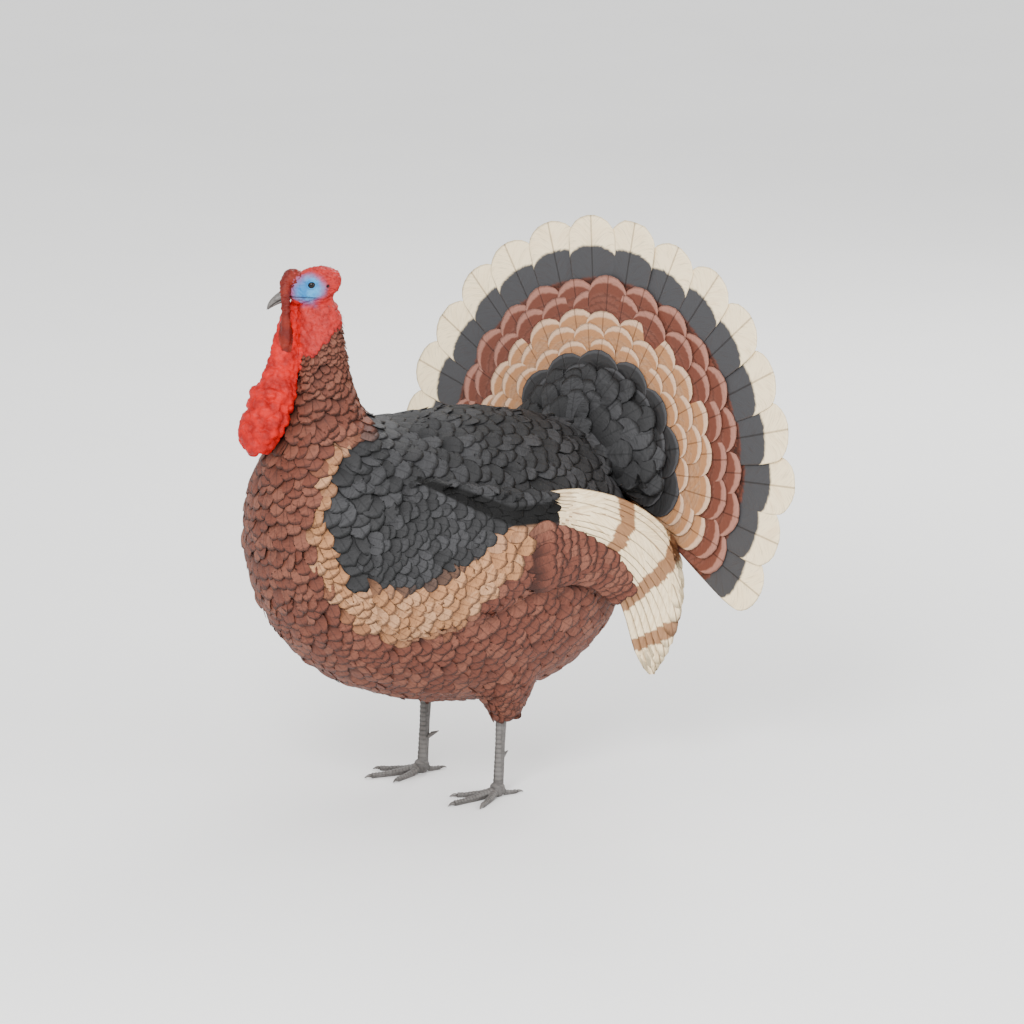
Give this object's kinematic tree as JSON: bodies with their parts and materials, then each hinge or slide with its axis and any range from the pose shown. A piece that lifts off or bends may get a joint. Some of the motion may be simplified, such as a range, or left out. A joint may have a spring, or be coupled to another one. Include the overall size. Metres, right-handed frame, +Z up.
{
  "type": "wild turkey, adult male in display",
  "caption": "Life-size still model of an adult male wild turkey standing in display, tail raised in a full fan, wings folded and a little drooped, bare head with snood and red wattle.",
  "frame": {"origin": "on the floor, under the middle of the bird's box", "axes": "+Z up; the bird faces -Y, and its left side is towards +X"},
  "size_m": [0.744, 0.7714, 0.8934],
  "materials": {
    "feather_brown": "matte",
    "feather_slate": "satin",
    "feather_tan": "matte",
    "feather_cream": "matte",
    "bare_skin": "satin",
    "wattle_red": "satin",
    "snood_red": "satin",
    "horn_grey": "satin",
    "leg_grey": "matte",
    "eye_black": "gloss"
  },
  "bodies": {
    "root": {"trunk": "feather_brown", "neck": "feather_brown", "head": "bare_skin", "bill_upper": "horn_grey", "bill_lower": "horn_grey", "snood": "snood_red", "wattle": "wattle_red", "eye_left": "eye_black", "eye_right": "eye_black", "wing_left": "feather_slate", "wing_right": "feather_slate", "primaries_left": "feather_cream", "primaries_right": "feather_cream", "rump": "feather_slate", "tail_coverts_short": "feather_tan", "tail_coverts_long": "feather_brown", "tail_fan": "feather_cream", "undertail": "feather_brown", "thigh_left": "feather_brown", "shank_left": "leg_grey", "spur_left": "horn_grey", "foot_left": "leg_grey", "claw_left_inner": "horn_grey", "claw_left_middle": "horn_grey", "claw_left_outer": "horn_grey", "claw_left_hind": "horn_grey", "thigh_right": "feather_brown", "shank_right": "leg_grey", "spur_right": "horn_grey", "foot_right": "leg_grey", "claw_right_inner": "horn_grey", "claw_right_middle": "horn_grey", "claw_right_outer": "horn_grey", "claw_right_hind": "horn_grey"}
  },
  "joints": []
}
